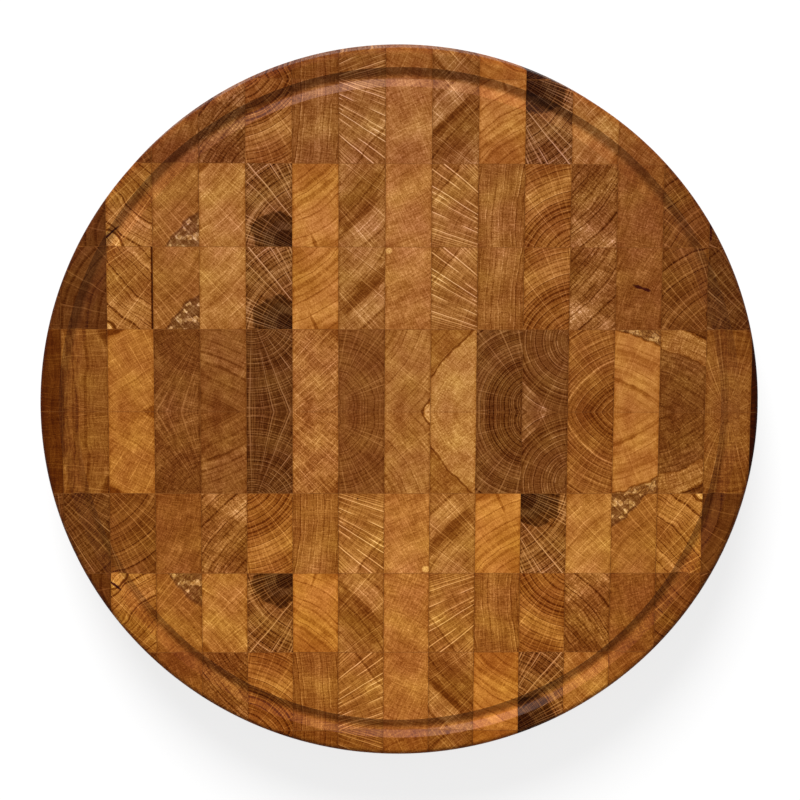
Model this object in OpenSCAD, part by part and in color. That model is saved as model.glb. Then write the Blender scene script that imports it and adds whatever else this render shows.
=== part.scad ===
// Round end-grain chopping block.
// Staves are glued side by side into a panel, the panel is sawn across into slices, and each slice
// is tipped up so that its end grain faces upwards. The slices are then glued to each other, some of
// them turned over, and the slab is turned round, rounded at the rim and given a juice groove.
// The origin is the centre of the underside, +Z is up and +Y is the top edge as seen from above.

/* [Board] */
// Diameter of the round board
board_d = 350; // [340:1:420]
// Thickness of the board
board_t = 40; // [25:1:60]
// Radius of the rounding along the top and the bottom of the rim
rim_round = 3; // [1:0.5:6]

/* [Juice groove] */
// Distance from the rim to the middle of the groove
groove_inset = 13.8; // [12:0.1:40]
// Width of the groove at the top
groove_w = 9.2; // [6:0.1:11]
// Depth of the groove below the top
groove_depth = 2.5; // [1:0.1:5]
// Radius of the groove's rounded bottom, between its sloping sides
groove_bottom_r = 2.5; // [0.5:0.1:2.5]

/* [Blocks] */
// Width of one stave, and so of every block sawn from it
stave_w = 22.15; // [18:0.05:24]
// Width of an outer slice between its two glue films
slice_w = 39.95; // [34:0.05:42]
// Width of each of the two middle slices between their glue films
middle_slice_w = 40.35; // [34:0.05:41]
// Thickness of the glue film between two blocks
glue_t = 0.2; // [0.1:0.05:0.5]
// Blocks that would reach in from the rim by less than this are left joined to their neighbour
least_reach = 1.5; // [0.5:0.1:3]

/* [Layout] */
// How far the middle stave lies to the right of the board's centre
stave_shift = 3.4; // [-4:0.05:4]
// How far the joint between the two middle slices lies above the board's centre
slice_shift = -1.05; // [-2:0.05:2]

/* [Hidden] */
board_r = board_d / 2;
// Cutting shapes reach past the board by this much
overshoot = 1;
past_rim = board_r + overshoot;

// The groove's sides slope so that they run smoothly into its rounded bottom
groove_bottom_drop = groove_depth - groove_bottom_r;
groove_slope = asin(groove_bottom_r / norm([groove_w / 2, groove_bottom_drop]))
    + atan2(groove_bottom_drop, groove_w / 2);

stave_pitch = stave_w + glue_t;
slice_pitch = slice_w + glue_t;
middle_pitch = middle_slice_w + glue_t;

// Every stave node is numbered from the left. The outermost ones also hold any stave further out.
stave_nodes = 15;
side_staves = (stave_nodes - 1) / 2;
farthest_stave = max(side_staves, ceil((board_r + abs(stave_shift)) / stave_pitch));

// Slices are counted outwards from the middle joint: 1 is a middle slice, and negative is below.
farthest_slice = 1 + ceil((board_r + abs(slice_shift) - middle_pitch) / slice_pitch);

// Slices that were turned over, left to right, before gluing: second from the middle outwards.
upper_turned = [false, false, true, true];
lower_turned = [true, false, true, true];

// Glue films between slices are numbered from the top edge down, and the fifth is the middle one.
film_nodes = 9;
side_films = (film_nodes - 1) / 2;

// Tones of the oak
honey = "#c88a45";
golden = "#b8783c";
russet = "#9a5a30";
brown = "#7a4d2c";
dark = "#4a2a1a";
glue_tone = "#3a2214";

// Tone of each stave in the two panels, from the left
outer_panel = [dark, golden, russet, honey, brown, honey, golden, honey,
               golden, russet, russet, brown, russet, brown, dark];
middle_panel = [brown, golden, brown, brown, dark, golden, brown, golden,
                honey, dark, brown, russet, honey, brown, brown];

function two_digits(i) = i < 10 ? str("0", i) : str(i);
stave_numbers = [for (i = [1:stave_nodes]) two_digits(i)];

$fn = 240;

// Height across the board of joint j, counted outwards from the middle joint 0
function joint_y(j) = slice_shift
    + (j == 0 ? 0 : sign(j) * (middle_pitch + (abs(j) - 1) * slice_pitch));

// Left side of the cell that column k fills, glue film included
function seam_x(k) = stave_shift + (k - 0.5) * stave_pitch;

// Lower and upper side of slice s
function slice_low(s) = (s > 0 ? joint_y(s - 1) : joint_y(s)) + glue_t / 2;
function slice_high(s) = (s > 0 ? joint_y(s) : joint_y(s + 1)) - glue_t / 2;

// Distance from zero to the nearest point of the stretch from a to b
function gap(a, b) = max(a, -b, 0);

// How far column k of slice s reaches in from the rim
function reach(s, k) = board_r - norm([
    gap(seam_x(k) + glue_t / 2, seam_x(k + 1) - glue_t / 2),
    gap(slice_low(s), slice_high(s))]);
function on_board(s, k) = reach(s, k) > least_reach;

// Whether slice s was turned over, so that its staves run from right to left
function turned(s) = abs(s) < 2 ? false
    : let (list = s > 0 ? upper_turned : lower_turned)
      list[min(abs(s) - 2, len(list) - 1)];

// Staves held by node number i, counted from the middle stave
function staves_of(i) =
    let (m = i - 1 - side_staves)
    abs(m) < side_staves ? [m] : [for (n = [side_staves:farthest_stave]) sign(m) * n];

// Joints held by film node number i
function joints_of(i) =
    let (j = side_films + 1 - i)
    abs(j) < side_films ? [j]
    : [for (n = [side_films:farthest_slice]) if (abs(joint_y(sign(j) * n)) < board_r - least_reach)
          sign(j) * n];

upper_slices = [for (s = [2:farthest_slice]) s];
lower_slices = [for (s = [2:farthest_slice]) -s];
middle_slices = [1, -1];

// Half of the board's section, with the roundings of the rim
module board_section() {
    square([board_r - rim_round, board_t]);
    translate([0, rim_round]) square([board_r, board_t - 2 * rim_round]);
    for (z = [rim_round, board_t - rim_round])
        translate([board_r - rim_round, z]) circle(r = rim_round);
}

// The groove's section, measured from the middle of its mouth: sloping sides and a rounded bottom
module groove_section() {
    side_foot = groove_bottom_r * [sin(groove_slope), -cos(groove_slope)] - [0, groove_bottom_drop];
    side_top = [groove_w / 2 + overshoot / tan(groove_slope), overshoot];
    translate([0, -groove_bottom_drop]) circle(r = groove_bottom_r);
    polygon([side_foot, side_top, [-side_top[0], side_top[1]], [-side_foot[0], side_foot[1]]]);
}

// The ring that the groove cutter sweeps
module groove_ring() {
    rotate_extrude()
        translate([board_r - groove_inset, board_t]) groove_section();
}

// What of its children lies inside the round board, with the groove cut into it
module round_board() {
    difference() {
        intersection() {
            rotate_extrude() board_section();
            children();
        }
        groove_ring();
    }
}

// An upright bar from x0 to x1 across and y0 to y1 up, taller than the board
module bar(x0, x1, y0, y1) {
    translate([x0, y0, -overshoot]) cube([x1 - x0, y1 - y0, board_t + 2 * overshoot]);
}

// The bar that becomes the block in column k of slice s. The last one of a row runs past the rim.
module block_bar(s, k) {
    x0 = on_board(s, k - 1) ? seam_x(k) + glue_t / 2 : -past_rim;
    x1 = on_board(s, k + 1) ? seam_x(k + 1) - glue_t / 2 : past_rim;
    bar(x0, x1, slice_low(s), slice_high(s));
}

// The blocks that the given slices have from node i's staves
module blocks_of(i, slices, tones) {
    color(tones[i - 1])
        round_board()
            for (s = slices, m = staves_of(i)) {
                k = turned(s) ? -m : m;
                if (on_board(s, k)) block_bar(s, k);
            }
}

// Blocks of one stave in the slices above the two middle ones
module upper_stave(i) { blocks_of(i, upper_slices, outer_panel); }

// Blocks of one stave in the two middle slices, which mirror each other
module middle_stave(i) { blocks_of(i, middle_slices, middle_panel); }

// Blocks of one stave in the slices below the two middle ones
module lower_stave(i) { blocks_of(i, lower_slices, outer_panel); }

// Glue films that run from rim to rim between two slices
module slice_glue(i) {
    color(glue_tone)
        round_board()
            for (j = joints_of(i))
                bar(-past_rim, past_rim, joint_y(j) - glue_t / 2, joint_y(j) + glue_t / 2);
}

// Glue films between the neighbouring blocks of the given slices
module block_glue(slices) {
    color(glue_tone)
        round_board()
            for (s = slices, k = [-farthest_stave:farthest_stave])
                if (on_board(s, k) && on_board(s, k + 1))
                    bar(seam_x(k + 1) - glue_t / 2, seam_x(k + 1) + glue_t / 2,
                        slice_low(s), slice_high(s));
}

for (i = [1:stave_nodes]) {
    upper_stave(i);
    middle_stave(i);
    lower_stave(i);
}
for (i = [1:film_nodes])
    slice_glue(i);
block_glue(upper_slices);  // upper_block_glue
block_glue(middle_slices);  // middle_block_glue
block_glue(lower_slices);  // lower_block_glue
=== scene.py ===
import math

import bpy
from mathutils import Matrix, Vector


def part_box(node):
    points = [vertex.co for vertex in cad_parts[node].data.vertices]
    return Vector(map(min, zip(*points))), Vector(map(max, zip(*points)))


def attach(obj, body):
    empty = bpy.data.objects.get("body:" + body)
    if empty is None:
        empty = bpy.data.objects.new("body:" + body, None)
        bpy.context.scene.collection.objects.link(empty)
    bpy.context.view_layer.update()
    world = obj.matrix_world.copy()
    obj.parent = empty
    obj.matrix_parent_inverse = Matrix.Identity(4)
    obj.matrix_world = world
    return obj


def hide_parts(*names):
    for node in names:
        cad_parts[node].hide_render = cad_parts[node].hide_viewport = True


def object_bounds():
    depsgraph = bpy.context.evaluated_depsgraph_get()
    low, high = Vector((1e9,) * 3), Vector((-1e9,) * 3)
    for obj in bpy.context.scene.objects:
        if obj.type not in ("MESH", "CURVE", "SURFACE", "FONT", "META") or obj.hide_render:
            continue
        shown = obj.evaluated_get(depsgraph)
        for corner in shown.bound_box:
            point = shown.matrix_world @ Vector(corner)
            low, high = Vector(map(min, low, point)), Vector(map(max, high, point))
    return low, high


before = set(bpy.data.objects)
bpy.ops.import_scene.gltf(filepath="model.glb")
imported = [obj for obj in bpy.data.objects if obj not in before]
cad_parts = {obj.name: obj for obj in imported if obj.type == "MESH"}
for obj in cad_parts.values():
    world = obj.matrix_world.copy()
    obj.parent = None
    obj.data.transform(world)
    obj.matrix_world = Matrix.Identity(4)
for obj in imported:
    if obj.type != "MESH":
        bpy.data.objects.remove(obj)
cad_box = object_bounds()

MM = 0.001

# The camera, from a fit of the seams, the groove and the rim in the photograph
PHOTO_SIZE = 800
SENSOR_MM = 36.0
FOCAL_PX = 2627.6
CAMERA_DISTANCE = 1.279
TILT_TO_TOP_EDGE = math.radians(10.24)
TILT_TO_LEFT = math.radians(1.40)
ROLL = math.radians(-0.05)
BOARD_CENTRE = Vector((0.0002, -0.0009, 0.0))
CENTRE_ROW_PX = 408.06

# Where the blocks lie, read from the frame. A node is numbered by its stave, and the outermost
# stave of each group also holds the slivers that lie one stave further out
MIDDLE_STAVE = 8
OUTERMOST = 7
low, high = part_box("middle_stave_08")
MIDDLE_X = (low.x + high.x) / 2
low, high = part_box("middle_stave_09")
PITCH = (low.x + high.x) / 2 - MIDDLE_X
TOP = cad_box[1][2]
JOINTS = []
for number in range(1, 10):
    low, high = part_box("slice_glue_%d" % number)
    JOINTS.append((low.y + high.y) / 2)
SLICE_W = JOINTS[1] - JOINTS[2]
HALF_STAVE_MM = PITCH / 2 / MM
HALF_SLICE_MM = SLICE_W / 2 / MM

# For each slice from the top edge: which way its staves run across, which way their section lies up
# and down, and its place along the panel. Slices in the same place were cut face to face, so they
# show the same grain, and the wood of the second runs the other way below its top face.
SLICES = [(-1, 1, 0, 1), (-1, -1, 1, 1), (1, 1, 2, 1), (1, 1, 3, 1), (1, 1, 0, 1),
          (1, -1, 0, -1), (-1, -1, 3, -1), (1, -1, 2, -1), (-1, 1, 1, -1), (-1, -1, 0, -1)]
# In mm: the way along a stave from one such place to the next, the wood that the saw took between
# the two faces, and how far across a sliver's wood lies from that of the outermost stave
SLICE_PAIR_MM = 80.0
SAW_CUT_MM = 3.0
SLIVER_SHIFT_MM = 37.0
# In mm, as in the part's source: the rim, the middle of the groove and half its width
BOARD_RADIUS = cad_box[1][0] / MM
GROOVE_INSET = 13.8
GROOVE_RADIUS = BOARD_RADIUS - GROOVE_INSET
GROOVE_HALF = 4.6
# Each slice darker or paler than the others, and a hue of painted light: a paler, less saturated
# cast toward the top edge that turns redder toward the bottom
SLICE_TONES = (-0.33, -0.12, -0.07, -0.04, -0.01, -0.01, 0.09, 0.02, 0.04, -0.25)
PAINTED_LIGHT_HUES = (0.36, 0.33, 0.15, 0.12, 0.01, -0.08, -0.28, -0.36, -0.39, -0.40)
# The joint that stands a little open: slice, from 0, and stave of a block beside it, and 1 for the
# block's right side or -1 for its left
OPEN_JOINTS = {(3, 2): 1.0}

# Tones of the oak, linear red, green and blue
TONES = {
    "honey": (0.440, 0.164, 0.034),
    "golden": (0.360, 0.128, 0.027),
    "russet": (0.280, 0.092, 0.017),
    "brown": (0.205, 0.063, 0.011),
    "dark": (0.125, 0.037, 0.0065),
}
# The wood's tone is worked out in the log of its colour. Darker wood is also redder, down to a
# limit, and paler wood yellower by a share of that
CHANNEL_POWERS = (1.0, 1.52, 2.6)
REDDEST = -1.5
YELLOW_SHARE = 0.75
# Strength of each thing that makes up the tone
DARK_LINES = -1.1
YEARS = 0.22
PALE_LINES = 0.85
STREAKS = 0.30
PORES_IN_WEAVE = 0.46
PORES = 0.26
CLOUDS = 0.32
RAY_TONE = 1.2
# How much of a mark a ray hides, and the layers of rays: share of the gap between rays, half the
# width of a ray in mm, how quickly it breaks off along its length, and strength
RAY_COVERS = 0.40
RAY_LAYERS = ((1.0, 0.155, 0.04, 1.0), (0.50, 0.115, 0.10, 0.50))
# How far the green and the blue drift within a block, and the green's share of the painted light hue
GREEN_DRIFT = 0.06
BLUE_DRIFT = -0.12
GREEN_SHARE = 0.2
# What the oil adds at a block's sides and ends and at an open joint; painted shade in the groove;
# and a darker tone just outside the groove and on the rounded rim
SIDE_TONE = -0.32
END_TONE = -0.10
OPEN_JOINT_TONE = -1.7
GROOVE_PAINTED_SHADE = -0.10
OUTSIDE_TONE = -0.08
RIM_TONE = -0.35
# Where each of these fades, in mm: from a block's side and end, from an open joint, across the
# groove's edge, outside the groove, and in from the rim
SIDE_FADE = (0.10, 1.40)
END_FADE = (0.05, 0.60)
OPEN_JOINT_FADE = (0.6, 1.2)
GROOVE_FADE = 0.2
OUTSIDE_FADE = 1.0
RIM_FADE = (3.0, 0.5)
# Gloss of the oiled wood and of the film of oil in the groove, and relief of the grain in metres
DARK_ROUGHNESS = 0.62
PALE_ROUGHNESS = 0.46
WOOD_GLOSS = 0.035
GROOVE_FILM = 0.15
FILM_ROUGHNESS = 0.35
BUMP_STRENGTH = 0.25
BUMP_DISTANCE = 0.0002

# Other wood in the marks, and the two glues from dark to pale
CREAM = (0.58, 0.29, 0.095)
SAPWOOD = (0.50, 0.21, 0.042)
PALE_SPOT = (0.80, 0.42, 0.13)
PALE_CORNER = (0.74, 0.37, 0.12)
YELLOW_BAND = (0.36, 0.135, 0.026)
BARK = (0.27, 0.112, 0.027)
BARK_PALE = (0.48, 0.20, 0.045)
BARK_DARK = (0.15, 0.043, 0.008)
KNOT = (0.029, 0.0052, 0.0003)
KNOT_RIM = (0.055, 0.0125, 0.0008)
KNOT_INSIDE = (0.080, 0.0240, 0.0040)
CRACK = (0.050, 0.005, 0.0025)
STAVE_GLUE = ((0.090, 0.026, 0.004), (0.21, 0.070, 0.012))
SLICE_GLUE = ((0.15, 0.048, 0.010), (0.30, 0.105, 0.020))
GLUE_ROUGHNESS = 0.7
GLUE_GLOSS = 0.06

# The studio, in metres: a white floor that glows a little where it is seen, even light from all
# round, and a broad lamp
FLOOR_SIZE = 8.0
FLOOR_WHITE = (0.93, 0.93, 0.93, 1.0)
FLOOR_ROUGHNESS = 0.9
FLOOR_GLOW = 1.15
FLOOR_GLOW_SHARE = 0.65
WORLD_WHITE = (1.0, 1.0, 1.0, 1.0)
WORLD_STRENGTH = 0.34
LAMP_PLACE = (-0.9, 4.9, 3.4)
LAMP_SIZE = 3.2
LAMP_WATTS = 437.0

# Half a length that goes all through the stave, and a distance beyond all wood, in mm
THROUGH = 1e5


def ellipse(centre, half, turn=0.0, depth=(0.0, THROUGH)):
    """A region round a point of the stave's section, in mm and degrees.

    Depth is its middle and its half length along the stave, where the slices lie at 0, -80, -160
    and -240.
    """
    return {"shape": "ellipse", "centre": (*centre, depth[0]), "half": (*half, depth[1]),
            "turn": math.radians(turn)}


def band(start, end=THROUGH):
    """A region between two distances from the pith, in mm."""
    return {"shape": "band", "start": start, "end": end}


def mark(region, tone=0.0, colour=None, edge=1.0, wander=1.2, line=0.0, flakes=False):
    """Darker, lighter or other wood in a region.

    The tone is added to the log of the wood's colour, and a colour takes its place. Edge is half
    the width of the border in mm, and wander is how far the border strays. Line darkens it, or
    makes it paler where it is negative, and flakes break the colour up.
    """
    return dict(region, tone=tone, colour=colour, edge=edge, wander=wander, line=line, flakes=flakes)


def stave(tone, level, pith, ring, dark, pale, rays, ray_gap, weave=0.6, sway=0.5, marks=(),
          hue=(1.0, 1.0)):
    """One stave: its tone, where its pith lies from its middle, its rings, rays and marks, in mm.

    Level multiplies the tone's colour, and hue its green and its blue. Ring is the width of a year's
    growth, dark and pale are the strength of the lines along it, sway is how far they stray, and
    weave is the strength of the fine texture between them.
    """
    return {"tone": tone, "level": level, "pith": pith, "ring": ring, "dark": dark, "pale": pale,
            "rays": rays, "ray_gap": ray_gap, "weave": weave, "sway": sway, "marks": marks,
            "hue": hue}


OUTER_PANEL = [
    stave("dark", 1.12, (38, -18), 6.0, 0.8, 0.15, 0.50, 7.0, 0.5, 1.0, hue=(0.95, 0.85)),
    stave("golden", 0.92, (48, 54), 1.7, 1.3, 0.10, 0.50, 4.5, 0.6, 1.6, (
        mark(ellipse((-4, -15), (18, 13)), 0.25, edge=5),
        mark(ellipse((-13, -21), (10.5, 9.5), 0, (-120, 144)), colour=SAPWOOD, edge=0.3, line=1.1,
             wander=0.6),
        mark(ellipse((-8.5, -13.5), (4.0, 0.45), 40, (-140, 50)), colour=CRACK, edge=0.2,
             wander=0.4)), hue=(0.97, 0.76)),
    stave("russet", 1.10, (-60, 60), 2.0, 0.30, 0.30, 0.38, 2.6, 0.6, 0.5, (
        mark(ellipse((16, -25), (34, 20.5), 47), colour=BARK_DARK, edge=0.5, wander=0.9),
        mark(ellipse((16, -25), (34, 19.3), 47), colour=BARK, edge=0.5, flakes=True)),
        hue=(1.01, 0.92)),
    stave("honey", 0.94, (-70, 72), 2.4, 0.35, 0.50, 0.40, 4.0, 0.55, 0.5, (
        mark(ellipse((-13, 22), (7, 8), 0, (-120, 80)), -0.45),), hue=(1.01, 0.98)),
    stave("brown", 0.93, (30, -29), 1.3, 2.0, 1.10, 1.0, 1.5, 0.8, 0.3, (
        mark(ellipse((4.5, -15.5), (12.5, 12)), colour=KNOT_RIM, edge=0.6, wander=2.0),
        mark(ellipse((6, -16), (9, 8)), colour=KNOT_INSIDE, edge=0.8),
        mark(ellipse((8.5, -17), (6, 5)), colour=KNOT, edge=0.8)), hue=(1.0, 0.95)),
    stave("honey", 1.20, (-38, 58), 4.2, 0.6, 0.25, 0.12, 5.0, 0.35, 1.2, (
        mark(ellipse((-8, 14), (18, 9), 35), -0.20, edge=5),
        mark(ellipse((9, -20), (8, 3.5), 0, (-200, 110)), -0.35, edge=1.2),
        mark(ellipse((-0.5, -17.5), (0.7, 4.5), 23, (-200, 110)), -0.60, edge=0.4, wander=0.6)),
        hue=(1.0, 0.90)),
    stave("golden", 0.97, (-70, 66), 2.2, 0.6, 0.45, 0.60, 4.0, 0.6, 0.7, (
        mark(ellipse((5, -9), (18, 4.5), 45), 0.22, edge=2),
        mark(ellipse((-2, 2.5), (21, 7.5), 45, (-95, 120)), -0.45, edge=1.2, wander=0.8),
        mark(ellipse((1.0, -1.0), (20, 3.0), 45, (-240, 60)), -0.55, wander=0.8),
        mark(ellipse((1.5, -3.0), (20, 1.3), 45, (-95, 120)), -0.45, edge=0.5, wander=0.5)),
        hue=(1.04, 1.03)),
    stave("honey", 0.95, (-45, 95), 2.8, 0.25, 0.25, 0.18, 3.0, 0.6, 0.8, (
        mark(ellipse((-9.3, 18.3), (1.8, 1.7), 0, (-240, 9)), colour=PALE_SPOT, edge=0.4),),
        hue=(0.96, 0.99)),
    stave("golden", 0.86, (60, -35), 3.4, 0.45, 0.10, 1.0, 2.4, 0.6, 0.5, (
        mark(ellipse((-14, 17.5), (30, 15.5), 51), 0.20),
        mark(ellipse((-14, 17.5), (30, 12), 51), -0.20, edge=0.4, line=0.5, wander=0.8),
        mark(ellipse((2, -17.5), (0.8, 0.9), 0, (-237, 2)), colour=CRACK, edge=0.2)),
        hue=(0.97, 0.82)),
    stave("russet", 1.08, (170, -12), 2.8, 0.6, 0.50, 0.15, 2.5, 0.70, 0.7, (
        mark(ellipse((-2.2, 11), (0.9, 0.7), 0, (-157, 2)), colour=CRACK, edge=0.2),),
        hue=(1.02, 0.97)),
    stave("russet", 1.20, (18, -32), 2.1, 1.5, 0.50, 0.50, 3.2, 0.45, 0.5, (
        mark(band(25, 31), -0.25),
        mark(band(0, 18), -0.20, edge=2)), hue=(1.0, 0.93)),
    stave("brown", 1.20, (-70, 62), 3.2, 1.4, 0.10, 0.15, 2.0, 1.15, 0.8, (
        mark(ellipse((-4, -5), (6, 12), -30, (-240, 50)), 0.22, edge=3),
        mark(ellipse((-5.4, -20.2), (30, 11.5), -27), 0.34, edge=1.5)), hue=(1.04, 1.07)),
    stave("russet", 0.88, (80, -30), 1.4, 0.25, 0.15, 0.10, 1.3, 0.8, 0.4, (
        mark(ellipse((0.3, 0.7), (4.4, 0.6), -20, (-240, 2)), colour=CRACK, edge=0.2,
             wander=1.0),), hue=(0.91, 0.85)),
    stave("brown", 1.02, (27, -38), 1.2, 1.4, 0.20, 0.70, 3.5, 0.5, 0.4, (
        mark(ellipse((11.0, -12.3), (0.5, 3.2), 0, (-240, 2)), colour=CRACK, edge=0.2,
             wander=0.3),), hue=(0.98, 0.88)),
    stave("dark", 1.08, (30, -35), 2.0, 0.8, 0.60, 1.0, 3.0, 1.0, 0.6, (
        mark(ellipse((-10.4, -12.5), (0.5, 3.5), 0, (-160, 2)), colour=CRACK, edge=0.2,
             wander=0.3),), hue=(0.97, 0.85)),
]
MIDDLE_PANEL = [
    stave("russet", 0.91, (-150, 0), 3.0, 0.6, 0.25, 0.30, 2.6, 0.6, 1.5, (
        mark(ellipse((14, 23), (10, 14)), 0.18, edge=0.8),
        mark(ellipse((14, 23), (8, 12)), -0.65, edge=0.8),
        mark(ellipse((-10.5, 14), (1.3, 9)), 0.25, edge=0.5),
        mark(ellipse((-7, 24), (1.6, 13), -8), -0.35, edge=0.6),
        mark(ellipse((-10.6, -22), (0.5, 22)), -0.50, edge=0.4, wander=0.4),
        mark(ellipse((-4.2, -16), (0.5, 22), 6), -0.35, edge=0.5, wander=0.8),
        mark(ellipse((-37, 0), (14, 60)), -0.75, edge=0.5)), hue=(0.99, 0.78)),
    stave("golden", 1.12, (75, -120), 3.2, 0.3, 0.30, 0.30, 2.8, 0.5, 0.6, (
        mark(ellipse((-12, 21), (8, 4.5)), -0.75, edge=0.6),
        mark(ellipse((13, -22), (7, 5.5)), -0.50, edge=0.6)), hue=(0.97, 0.70)),
    stave("brown", 0.90, (17, 27), 1.8, 0.4, 0.15, 0.40, 2.2, 1.0, 0.5, (
        mark(ellipse((-2, -25), (22, 14)), 0.25, edge=2),
        mark(ellipse((0, 18), (18, 9)), -0.10, edge=4)), hue=(0.95, 0.84)),
    stave("brown", 1.16, (-50, -112), 3.6, 0.5, 0.20, 0.12, 3.0, 0.7, 0.4, (
        mark(band(124), 0.15, edge=1.5),
        mark(band(127.4, 128.2), -0.35, edge=0.3, wander=0.7),
        mark(band(122.8, 123.9), -0.60, edge=0.4, wander=0.7),
        mark(band(104, 108), -0.20, edge=1.5)), hue=(1.04, 1.08)),
    stave("dark", 0.92, (-8.5, 27), 1.6, 1.1, 1.10, 1.0, 2.2, 0.7, 0.3, hue=(0.94, 0.80)),
    stave("golden", 1.02, (-90, -85), 2.2, 0.4, 0.25, 0.50, 2.4, 0.9, 0.5, (
        mark(ellipse((8, 18), (9, 6)), -0.35, edge=3),), hue=(0.98, 0.95)),
    stave("brown", 1.05, (-14.5, -16), 2.0, 0.6, 0.25, 0.45, 2.8, 0.6, 0.8, hue=(1.01, 1.06)),
    stave("golden", 1.07, (-55, 40), 3.4, 0.6, 0.20, 0.22, 3.6, 0.6, 0.6, (
        mark(ellipse((1, -9), (8, 3.5), 45), -0.22, edge=2),
        mark(ellipse((12.5, -21.5), (5.3, 7.5)), colour=PALE_CORNER, edge=0.4, line=1.0)),
        hue=(1.07, 1.07)),
    stave("honey", 1.09, (75, -60), 2.6, 0.25, 0.10, 0.10, 2.6, 0.7, 0.4, (
        mark(band(103), -0.42, edge=0.3, line=0.7, wander=0.8),), hue=(1.13, 1.25)),
    stave("brown", 0.93, (16.5, -16), 1.35, 1.7, 0.50, 0.50, 2.6, 0.6, 0.4, (
        mark(band(0, 20), -0.2, edge=3),), hue=(1.07, 1.19)),
    stave("brown", 0.88, (15, 15), 1.9, 1.0, 0.80, 0.50, 2.8, 0.5, 0.4, (
        mark(ellipse((-14, -20.4), (60, 12), -51), 0.25, edge=0.5, line=-0.35, wander=0.6),),
        hue=(1.01, 1.05)),
    stave("russet", 1.05, (26, -34), 1.9, 1.2, 0.70, 0.40, 3.0, 0.5, 0.4, (
        mark(band(0, 41.5), -0.22),
        mark(band(41.4, 42.0), 0.45, edge=0.3, wander=0.5)), hue=(0.98, 0.86)),
    stave("honey", 1.11, (-27, -60), 4.4, 0.35, 0.15, 0.12, 5.0, 0.3, 0.8, (
        mark(band(57.6, 58.8), -0.55, edge=0.5, wander=0.7),
        mark(band(67.8, 68.4), 0.30, edge=0.3, wander=0.7),
        mark(band(70.5, 73), -0.18, edge=0.8, wander=0.7),
        mark(band(81.5), colour=BARK_PALE, edge=0.4, line=0.6, flakes=True)),
        hue=(1.01, 0.98)),
    stave("brown", 0.96, (-25, -50), 3.5, 0.5, 0.05, 0.08, 3.0, 1.0, 0.8, (
        mark(band(52.5, 62), 0.20, edge=2),
        mark(band(62.5, 75), colour=YELLOW_BAND, edge=0.8, line=0.5),
        mark(band(75), -0.25, edge=0.5, line=0.5)), hue=(1.01, 0.90)),
    stave("russet", 0.94, (0, -21), 2.8, 0.3, 0.15, 0.45, 2.6, 0.8, 1.0, (
        mark(ellipse((5, 17), (13, 10)), -0.25, edge=3),
        mark(ellipse((37, 0), (14, 60)), -1.90, edge=0.5)), hue=(1.0, 0.85)),
]


class Nodes:
    """Short calls that add nodes to a material or a node group and link them."""

    # Places of a Mix node's two colours among its inputs, and of the mixed colour among its outputs
    MIX_COLOURS = (6, 7)
    MIX_RESULT = 2

    def __init__(self, tree):
        self.tree = tree

    def add(self, kind, **settings):
        """Adds a node with the settings given."""
        node = self.tree.nodes.new(kind)
        for name, value in settings.items():
            setattr(node, name, value)
        return node

    def feed(self, socket, value):
        """Links an output to the socket, or sets the socket to a plain value."""
        if isinstance(value, bpy.types.NodeSocket):
            self.tree.links.new(value, socket)
        else:
            socket.default_value = value

    def fed(self, kind, values, **settings):
        """Adds a node, feeds its first inputs with the values and returns its first output."""
        node = self.add(kind, **settings)
        for socket, value in zip(node.inputs, values):
            self.feed(socket, value)
        return node.outputs[0]

    def math(self, operation, *values):
        return self.fed("ShaderNodeMath", values, operation=operation)

    def plus(self, *values):
        total = values[0]
        for value in values[1:]:
            total = self.math("ADD", total, value)
        return total

    def times(self, *values):
        total = values[0]
        for value in values[1:]:
            total = self.math("MULTIPLY", total, value)
        return total

    def steps(self, value, start, end, low=0.0, high=1.0):
        """Goes smoothly from low to high as the value goes from start to end."""
        return self.fed("ShaderNodeMapRange", (value, start, end, low, high),
                        interpolation_type="SMOOTHSTEP")

    def mix(self, factor, a, b, blend="MIX"):
        """Mixes two colours."""
        node = self.add("ShaderNodeMix", data_type="RGBA", blend_type=blend)
        self.feed(node.inputs[0], factor)
        for place, value in zip(self.MIX_COLOURS, (a, b)):
            self.feed(node.inputs[place], (*value, 1.0) if isinstance(value, tuple) else value)
        return node.outputs[self.MIX_RESULT]

    def combine(self, x, y, z=0.0):
        return self.fed("ShaderNodeCombineXYZ", (x, y, z))

    def split(self, vector):
        node = self.add("ShaderNodeSeparateXYZ")
        self.feed(node.inputs[0], vector)
        return node.outputs

    def noise(self, place, scale, detail=2.0, rough=0.5, dimensions="3D"):
        """Noise about 0, seldom beyond -1 and 1."""
        node = self.add("ShaderNodeTexNoise", noise_dimensions=dimensions)
        self.feed(node.inputs["W" if dimensions == "1D" else "Vector"], place)
        for name, value in (("Scale", scale), ("Detail", detail), ("Roughness", rough)):
            node.inputs[name].default_value = value
        return self.fed("ShaderNodeMapRange", (node.outputs[0], 0.25, 0.75, -1.0, 1.0), clamp=False)

    def lines(self, value):
        """Distance to the nearest of marks scattered about 1 apart along the value.

        Also gives three random numbers of that mark's own.
        """
        node = self.add("ShaderNodeTexVoronoi", voronoi_dimensions="1D")
        self.feed(node.inputs["W"], value)
        node.inputs["Scale"].default_value = 1.0
        node.inputs["Randomness"].default_value = 0.8
        return node.outputs["Distance"], self.split(node.outputs["Color"])


def new_group(name, inputs, outputs):
    """An empty node group with the sockets named, its node maker and its two ends."""
    tree = bpy.data.node_groups.new(name, "ShaderNodeTree")
    for names, direction in ((inputs, "INPUT"), (outputs, "OUTPUT")):
        for socket in names:
            kind = "NodeSocketVector" if socket in ("Grain", "Pith") else "NodeSocketFloat"
            tree.interface.new_socket(socket, in_out=direction, socket_type=kind)
    n = Nodes(tree)
    return tree, n, n.add("NodeGroupInput").outputs, n.add("NodeGroupOutput").inputs


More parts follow.
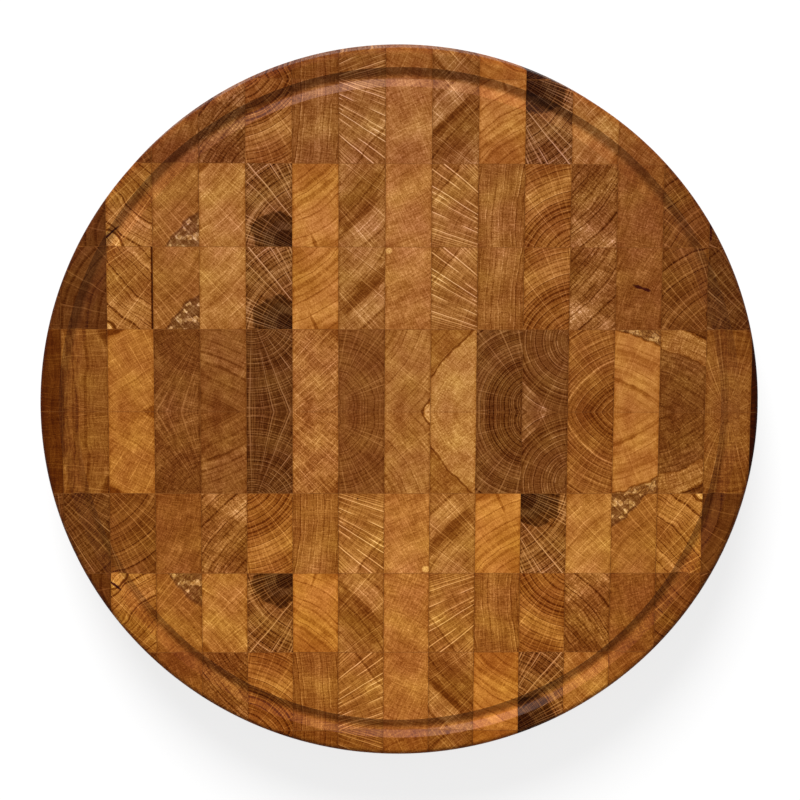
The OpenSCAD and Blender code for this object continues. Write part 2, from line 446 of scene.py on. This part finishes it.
def rings_group():
    """Growth rings round the pith with rows of pores, and the finer weave between them.

    Lengths are in mm. Radius is measured from the pith, and across is measured round it, along the
    circle that passes through the stave's middle.
    """
    sockets = ("Grain", "Pith", "Ring", "Dark", "Pale", "Weave", "Sway")
    tree, n, given, out = new_group("oak_rings", sockets, ("Tone", "Radius", "Across"))
    u, v, w = n.split(given["Grain"])
    pith_u, pith_v, _ = n.split(given["Pith"])
    drift = n.combine(u, v, n.times(w, 0.12))
    du, dv = n.math("SUBTRACT", u, pith_u), n.math("SUBTRACT", v, pith_v)

    # The rings wander a little from true circles, and the rays from straight lines
    radius = n.plus(n.math("SQRT", n.plus(n.times(du, du), n.times(dv, dv))),
                    n.times(n.noise(drift, 0.06), given["Sway"]),
                    n.times(n.noise(drift, 0.35), 0.08))
    far = n.math("SQRT", n.plus(n.times(pith_u, pith_u), n.times(pith_v, pith_v)))
    across = n.plus(n.times(n.math("ARCTAN2", dv, du), far),
                    n.times(n.noise(drift, 0.06), 0.25))

    # Uneven rings, each with a dark row of pores at its start
    count = n.math("DIVIDE", radius, given["Ring"])
    count = n.plus(count, n.times(n.noise(count, 0.5, 1.0, 0.5, "1D"), 0.7))
    phase = n.math("FRACT", count)
    own = n.add("ShaderNodeTexWhiteNoise", noise_dimensions="1D")
    n.feed(own.inputs["W"], n.math("FLOOR", count))
    dark_share = n.split(own.outputs["Color"])[0]
    dots = n.steps(n.noise(n.combine(n.times(across, 1.3), count), 1.0), -0.6, 0.5, 0.35, 1.0)
    fades_at = n.plus(n.math("DIVIDE", 0.30, given["Ring"]), 0.30)
    dark_line = n.times(n.steps(phase, 0.0, 0.08), n.steps(phase, 0.12, fades_at, 1.0, 0.0),
                        n.steps(dark_share, 0.0, 1.0, 0.40, 1.0), dots)
    years = n.noise(count, 0.22, 2.0, 0.6, "1D")
    rings = n.times(n.plus(n.times(dark_line, DARK_LINES), n.times(years, YEARS)), given["Dark"])

    # Pale lines along the rings, streaks along and across them, pores, and cloudy changes of tone
    step = n.times(given["Ring"], 0.75)
    near, (strength, _, place) = n.lines(n.math("DIVIDE", radius, step))
    lasts = n.noise(n.combine(n.times(place, 97.0), n.times(across, 0.07)), 1.0, 1.0)
    pale_line = n.times(n.steps(n.times(near, step), 0.10, 0.28, 1.0, 0.0),
                        n.steps(strength, 0.0, 1.0, 0.25, 1.0), n.steps(lasts, -0.5, 0.0),
                        given["Pale"], PALE_LINES)
    along = n.noise(n.combine(radius, n.times(across, 0.14), n.times(w, 0.05)), 1.3, 1.0)
    out_from = n.noise(n.combine(across, n.times(radius, 0.14), n.times(w, 0.05)), 1.5, 1.0)
    weave = n.times(n.plus(n.times(along, STREAKS), n.times(out_from, STREAKS)), given["Weave"])
    pores = n.noise(n.combine(u, v, n.times(w, 0.05)), 1.6, 3.0, 0.8)
    cloud = n.noise(drift, 0.08, 3.0, 0.6)
    tone = n.plus(rings, pale_line, weave, n.times(pores, given["Weave"], PORES_IN_WEAVE),
                  n.times(pores, PORES), n.times(cloud, CLOUDS))
    for name, value in (("Tone", tone), ("Radius", radius), ("Across", across)):
        n.feed(out[name], value)
    return tree


def rays_group():
    """Rays: pale lines away from the pith in long broken lengths, and finer ones between."""
    tree, n, given, out = new_group("oak_rays", ("Across", "Radius", "Gap"), ("Ray",))
    layers = []
    for gap, half, breaks, share in RAY_LAYERS:
        step = n.times(given["Gap"], gap)
        near, (strength, width, place) = n.lines(n.math("DIVIDE", given["Across"], step))
        near = n.times(near, step)
        half_width = n.times(n.steps(width, 0.0, 1.0, 0.7, 1.5), half)
        line = n.steps(n.math("SUBTRACT", near, half_width), -0.05, 0.10, 1.0, 0.0)
        lasts = n.noise(n.combine(n.times(place, 97.0), n.times(given["Radius"], breaks)), 1.0, 1.0)
        layers.append(n.times(line, n.steps(strength, 0.0, 1.0, 0.40, 1.0),
                              n.steps(lasts, -0.7, -0.3), share))
    n.feed(out["Ray"], n.math("MAXIMUM", *layers))
    return tree


def border(n, region, grain, radius):
    """Distance from a region's border in mm, negative inside it."""
    if region["shape"] == "band":
        return n.math("MAXIMUM", n.math("SUBTRACT", region["start"], radius),
                      n.math("SUBTRACT", radius, region["end"]))
    spin = (0.0, 0.0, region["turn"])
    place = n.fed("ShaderNodeMapping", (grain, region["centre"], spin, region["half"]),
                  vector_type="TEXTURE")
    length = n.add("ShaderNodeVectorMath", operation="LENGTH")
    n.feed(length.inputs[0], place)
    return n.times(n.math("SUBTRACT", length.outputs["Value"], 1.0), min(region["half"][:2]))


def flakes(n, grain, colour):
    """Crumbled bark: streaky, with pale crumbs and thin dark gaps between them."""
    u, v, w = n.split(grain)
    bent = n.combine(n.plus(u, n.times(n.noise(grain, 0.4), 0.9)),
                     n.plus(v, n.times(n.noise(grain, 0.5), 0.9)))
    cells = n.add("ShaderNodeTexVoronoi", voronoi_dimensions="2D")
    gaps = n.add("ShaderNodeTexVoronoi", voronoi_dimensions="2D", feature="DISTANCE_TO_EDGE")
    for node in (cells, gaps):
        n.feed(node.inputs["Vector"], bent)
        node.inputs["Scale"].default_value = 0.42
    own = n.split(cells.outputs["Color"])
    along, over = n.times(n.plus(u, v), 1.1), n.times(n.math("SUBTRACT", u, v), 0.25)
    streaks = n.noise(n.combine(along, over, w), 1.0, 2.0)
    flake = n.mix(n.steps(streaks, -0.7, 0.7, 0.0, 0.8), BARK_DARK, colour)
    flake = n.mix(n.steps(own[0], 0.50, 0.85, 0.0, 0.9), flake, CREAM)
    return n.mix(n.steps(gaps.outputs["Distance"], 0.02, 0.13, 0.75, 0.0), flake, BARK_DARK)


def wood_material(name, kind, rings_tree, rays_tree):
    """The material of one stave, from its entry in a panel."""
    material = bpy.data.materials.new(name)
    material.use_nodes = True
    n = Nodes(material.node_tree)
    shader = material.node_tree.nodes["Principled BSDF"]
    grain = n.add("ShaderNodeAttribute", attribute_name="grain").outputs["Vector"]
    cell = n.add("ShaderNodeAttribute", attribute_name="cell").outputs["Vector"]

    rings = n.add("ShaderNodeGroup", node_tree=rings_tree)
    settings = [kind[name] for name in ("ring", "dark", "pale", "weave", "sway")]
    for socket, value in zip(rings.inputs, (grain, (*kind["pith"], 0.0), *settings)):
        n.feed(socket, value)
    tone, radius, across = rings.outputs
    rays = n.fed("ShaderNodeGroup", (across, radius, kind["ray_gap"]), node_tree=rays_tree)

    pale = n.times(rays, kind["rays"])
    tone = n.plus(n.times(tone, n.math("SUBTRACT", 1.0, pale)), n.times(pale, RAY_TONE))

    # Marks that change the tone, and covers of other wood. A ray shows through both, but weaker
    shows = n.math("SUBTRACT", 1.0, n.times(pale, RAY_COVERS))
    covers = []
    strays = n.noise(grain, 0.16, 2.0, 0.45) if kind["marks"] else None
    for one in kind["marks"]:
        away = n.plus(border(n, one, grain, radius), n.times(strays, one["wander"]))
        inside = n.steps(away, -one["edge"], one["edge"], 1.0, 0.0)
        if one["colour"]:
            covers.append((n.times(inside, shows),
                           flakes(n, grain, one["colour"]) if one["flakes"] else one["colour"]))
        else:
            tone = n.plus(tone, n.times(inside, shows, one["tone"]))
        if one["line"]:
            on_border = n.steps(n.math("ABSOLUTE", away), 0.20, 0.75, 1.0, 0.0)
            tone = n.plus(tone, n.times(on_border, -one["line"]))

    # Oil gathers in the wood right beside the glue and darkens it, here more and there less
    x, y, open_side = n.split(cell)
    oil = n.add("ShaderNodeAttribute", attribute_name="oil").outputs["Vector"]
    slice_tone, painted_light_hue, _ = n.split(oil)
    to_side = n.math("SUBTRACT", HALF_STAVE_MM, n.math("ABSOLUTE", x))
    to_end = n.math("SUBTRACT", HALF_SLICE_MM, n.math("ABSOLUTE", y))
    uneven = n.steps(n.noise(grain, 0.25, 2.0), -0.7, 0.8, 0.25, 1.0)
    side = n.times(n.steps(to_side, *SIDE_FADE, SIDE_TONE, 0.0), uneven)
    end = n.times(n.steps(to_end, *END_FADE, END_TONE, 0.0), uneven)
    soaked = n.math("MINIMUM", side, end)

    # Along an open joint the wood shows a dark ragged edge
    to_open = n.plus(n.math("SUBTRACT", HALF_STAVE_MM, n.times(x, open_side)),
                     n.times(n.noise(grain, 0.8), 0.2))
    gap = n.steps(to_open, *OPEN_JOINT_FADE, 1.0, 0.0)

    # Painted shade in the groove, a darker tone outside it and on the rounded rim, and a film of oil
    # that lies in the groove
    east, north, _ = n.split(n.add("ShaderNodeTexCoord").outputs["Object"])
    from_middle = n.math("SQRT", n.plus(n.times(east, east), n.times(north, north)))
    radius_mm = n.math("DIVIDE", from_middle, MM)
    from_groove = n.math("ABSOLUTE", n.math("SUBTRACT", radius_mm, GROOVE_RADIUS))
    in_groove = n.steps(from_groove, GROOVE_HALF - GROOVE_FADE, GROOVE_HALF + GROOVE_FADE, 1.0, 0.0)
    rim_start, rim_end = (BOARD_RADIUS - inset for inset in RIM_FADE)
    rim = n.steps(radius_mm, rim_start, rim_end, 0.0, RIM_TONE)
    groove_end = GROOVE_RADIUS + GROOVE_HALF
    outside = n.steps(radius_mm, groove_end, groove_end + OUTSIDE_FADE, 0.0, OUTSIDE_TONE)
    # Oil at the joints and the slice's tone, with the painted shade of the groove and the darker rim
    oiled = n.plus(soaked, n.times(gap, OPEN_JOINT_TONE), n.times(in_groove, GROOVE_PAINTED_SHADE), outside,
                   rim, slice_tone)

    whole = n.plus(tone, oiled)
    reddens = n.math("MAXIMUM", n.math("MINIMUM", whole, n.times(whole, YELLOW_SHARE)), REDDEST)
    factors = []
    for power in CHANNEL_POWERS:
        factors.append(n.math("EXPONENT", n.plus(whole, n.times(reddens, power - 1.0))))

    # The hue drifts within a block, and painted light shifts it from slice to slice, more in the
    # blue than in the green
    u, v, w = n.split(grain)
    hue = n.noise(n.combine(u, v, n.times(w, 0.1)), 0.07, 1.0)
    green_shift = n.plus(n.times(hue, GREEN_DRIFT), n.times(painted_light_hue, GREEN_SHARE))
    blue_shift = n.plus(n.times(hue, BLUE_DRIFT), painted_light_hue)
    factors[1] = n.times(factors[1], n.math("EXPONENT", green_shift))
    factors[2] = n.times(factors[2], n.math("EXPONENT", blue_shift))
    red, green, blue = (c * kind["level"] for c in TONES[kind["tone"]])
    own = (red, green * kind["hue"][0], blue * kind["hue"][1])
    for inside, cover in covers:
        own = n.mix(inside, own, cover)
    colour = n.mix(1.0, own, n.combine(*factors), "MULTIPLY")

    n.feed(shader.inputs["Base Color"], colour)
    n.feed(shader.inputs["Roughness"], n.steps(tone, -0.6, 0.4, DARK_ROUGHNESS, PALE_ROUGHNESS))
    bump = n.add("ShaderNodeBump")
    bump.inputs["Strength"].default_value = BUMP_STRENGTH
    bump.inputs["Distance"].default_value = BUMP_DISTANCE
    n.feed(bump.inputs["Height"], tone)
    n.feed(shader.inputs["Normal"], bump.outputs["Normal"])
    n.feed(shader.inputs["Coat Weight"], n.times(in_groove, GROOVE_FILM))
    shader.inputs["Coat Roughness"].default_value = FILM_ROUGHNESS
    shader.inputs["Specular IOR Level"].default_value = WOOD_GLOSS
    return material


def glue_material(name, dark, pale):
    """Dull glue between two tones along its line."""
    material = bpy.data.materials.new(name)
    material.use_nodes = True
    n = Nodes(material.node_tree)
    shader = material.node_tree.nodes["Principled BSDF"]
    place = n.add("ShaderNodeTexCoord").outputs["Object"]
    tone = n.steps(n.noise(place, 150.0, 3.0, 0.6), -0.6, 0.6)
    n.feed(shader.inputs["Base Color"], n.mix(tone, dark, pale))
    shader.inputs["Roughness"].default_value = GLUE_ROUGHNESS
    shader.inputs["Specular IOR Level"].default_value = GLUE_GLOSS
    return material


def slice_of(y):
    """Number of the slice that holds height y across the board, from 0 at the top edge."""
    return sum(1 for joint in JOINTS if y < joint)


def slice_middle(number):
    """Height across the board of a slice's middle, at its full width."""
    if number == 0:
        return JOINTS[0] + SLICE_W / 2
    if number == len(JOINTS):
        return JOINTS[-1] - SLICE_W / 2
    return (JOINTS[number - 1] + JOINTS[number]) / 2


def staves_in(number):
    """Staves, counted from the middle one, that a node of that number holds."""
    place = number - MIDDLE_STAVE
    if abs(place) < OUTERMOST:
        return [place]
    return [OUTERMOST, OUTERMOST + 1] if place > 0 else [-OUTERMOST, -OUTERMOST - 1]


def make_stave(node, number, material):
    """A copy of the node's blocks that knows where in its stave each point lies.

    Grain is the place in the stave in mm: across it, up its section and along it. Cell is the place
    in the block's top face in mm, and which side stands open. The third holds the slice's tone and
    its hue of painted light.
    """
    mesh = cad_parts[node].data.copy()
    mesh.name = node + "_wood"
    # All are made before any is fetched, because making one can move the others
    for name in ("grain", "cell", "oil"):
        mesh.attributes.new(name, "FLOAT_VECTOR", "POINT")
    grain, cell, oil = (mesh.attributes[name] for name in ("grain", "cell", "oil"))
    for i, vertex in enumerate(mesh.vertices):
        x, y, z = vertex.co
        row = slice_of(y)
        across, up, place, down = SLICES[row]
        columns = [across * m for m in staves_in(number)]
        column = min(columns, key=lambda k: abs(x - MIDDLE_X - k * PITCH))
        from_x = x - MIDDLE_X - column * PITCH
        from_y = y - slice_middle(row)
        sliver_shift = SLIVER_SHIFT_MM * (column * across - (number - MIDDLE_STAVE))
        along = -SLICE_PAIR_MM * place + down * (z - TOP) / MM
        if down < 0:
            along += SAW_CUT_MM
        grain.data[i].vector = (across * from_x / MM + sliver_shift, up * from_y / MM, along)
        cell.data[i].vector = (from_x / MM, from_y / MM, OPEN_JOINTS.get((row, number), 0.0))
        # The slice's tone, and its hue of painted light
        oil.data[i].vector = (SLICE_TONES[row], PAINTED_LIGHT_HUES[row], 0.0)
    mesh.materials.clear()
    mesh.materials.append(material)
    piece = bpy.data.objects.new(node + "_wood", mesh)
    bpy.context.scene.collection.objects.link(piece)
    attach(piece, "root")
    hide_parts(node)


def make_board():
    """Every block in its own wood, and the glue between them."""
    rings_tree, rays_tree = rings_group(), rays_group()
    for panel, staves, groups in (("outer", OUTER_PANEL, ("upper", "lower")),
                                  ("middle", MIDDLE_PANEL, ("middle",))):
        for number, kind in enumerate(staves, start=1):
            material = wood_material("%s_panel_%02d" % (panel, number), kind, rings_tree, rays_tree)
            for where in groups:
                make_stave("%s_stave_%02d" % (where, number), number, material)
    stave_glue = glue_material("stave_glue", *STAVE_GLUE)
    slice_glue = glue_material("slice_glue", *SLICE_GLUE)
    for name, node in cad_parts.items():
        if "glue" in name:
            node.data.materials.clear()
            node.data.materials.append(slice_glue if name.startswith("slice") else stave_glue)


def make_floor():
    """A plain white floor under the board."""
    bpy.ops.mesh.primitive_plane_add(size=FLOOR_SIZE, location=(0, 0, 0))
    floor = bpy.context.object
    floor.name = "floor"
    material = bpy.data.materials.new("white_floor")
    material.use_nodes = True
    shader = material.node_tree.nodes["Principled BSDF"]
    shader.inputs["Base Color"].default_value = FLOOR_WHITE
    shader.inputs["Roughness"].default_value = FLOOR_ROUGHNESS
    shader.inputs["Specular IOR Level"].default_value = 0.0

    # Seen by the camera or mirrored, the floor glows up to white, and the shadow on it stays
    n = Nodes(material.node_tree)
    path = n.add("ShaderNodeLightPath").outputs
    seen = n.math("MAXIMUM", n.math("MAXIMUM", path["Is Camera Ray"], path["Is Glossy Ray"]),
                  path["Is Transmission Ray"])
    glow = n.add("ShaderNodeEmission")
    glow.inputs["Strength"].default_value = FLOOR_GLOW
    mixed = n.add("ShaderNodeMixShader")
    n.feed(mixed.inputs[0], n.times(seen, FLOOR_GLOW_SHARE))
    n.feed(mixed.inputs[1], shader.outputs[0])
    n.feed(mixed.inputs[2], glow.outputs[0])
    n.feed(material.node_tree.nodes["Material Output"].inputs["Surface"], mixed.outputs[0])
    floor.data.materials.append(material)


def make_lights():
    """A broad lamp beyond the top edge, and even light from all round."""
    world = bpy.data.worlds.new("studio")
    world.use_nodes = True
    background = world.node_tree.nodes["Background"]
    background.inputs["Color"].default_value = WORLD_WHITE
    background.inputs["Strength"].default_value = WORLD_STRENGTH
    bpy.context.scene.world = world
    lamp = bpy.data.lights.new("window", "AREA")
    lamp.shape = "DISK"
    lamp.size = LAMP_SIZE
    lamp.energy = LAMP_WATTS
    lamp_object = bpy.data.objects.new("window", lamp)
    lamp_object.location = LAMP_PLACE
    direction = Vector((0, 0, 0)) - lamp_object.location
    lamp_object.rotation_euler = direction.to_track_quat("-Z", "Y").to_euler()
    bpy.context.scene.collection.objects.link(lamp_object)


def make_camera():
    """The photograph's camera: almost overhead, a little towards the top edge."""
    turn = (Matrix.Rotation(ROLL, 3, "Z") @ Matrix.Rotation(TILT_TO_LEFT, 3, "Y")
            @ Matrix.Rotation(TILT_TO_TOP_EDGE, 3, "X"))
    back = turn.transposed()
    camera = bpy.data.cameras.new("photo_camera")
    camera.sensor_width = SENSOR_MM
    camera.lens = FOCAL_PX * SENSOR_MM / PHOTO_SIZE
    camera_object = bpy.data.objects.new("photo_camera", camera)
    place = back @ Vector((0, 0, CAMERA_DISTANCE)) - BOARD_CENTRE + Vector((0, 0, TOP))
    lift = math.atan((CENTRE_ROW_PX - PHOTO_SIZE / 2) / FOCAL_PX)
    aim = (back @ Matrix.Rotation(lift, 3, "X")).to_4x4()
    camera_object.matrix_world = Matrix.Translation(place) @ aim
    bpy.context.scene.collection.objects.link(camera_object)
    bpy.context.scene.camera = camera_object


make_board()
make_floor()
make_lights()
make_camera()
bpy.context.scene.view_settings.view_transform = "Standard"
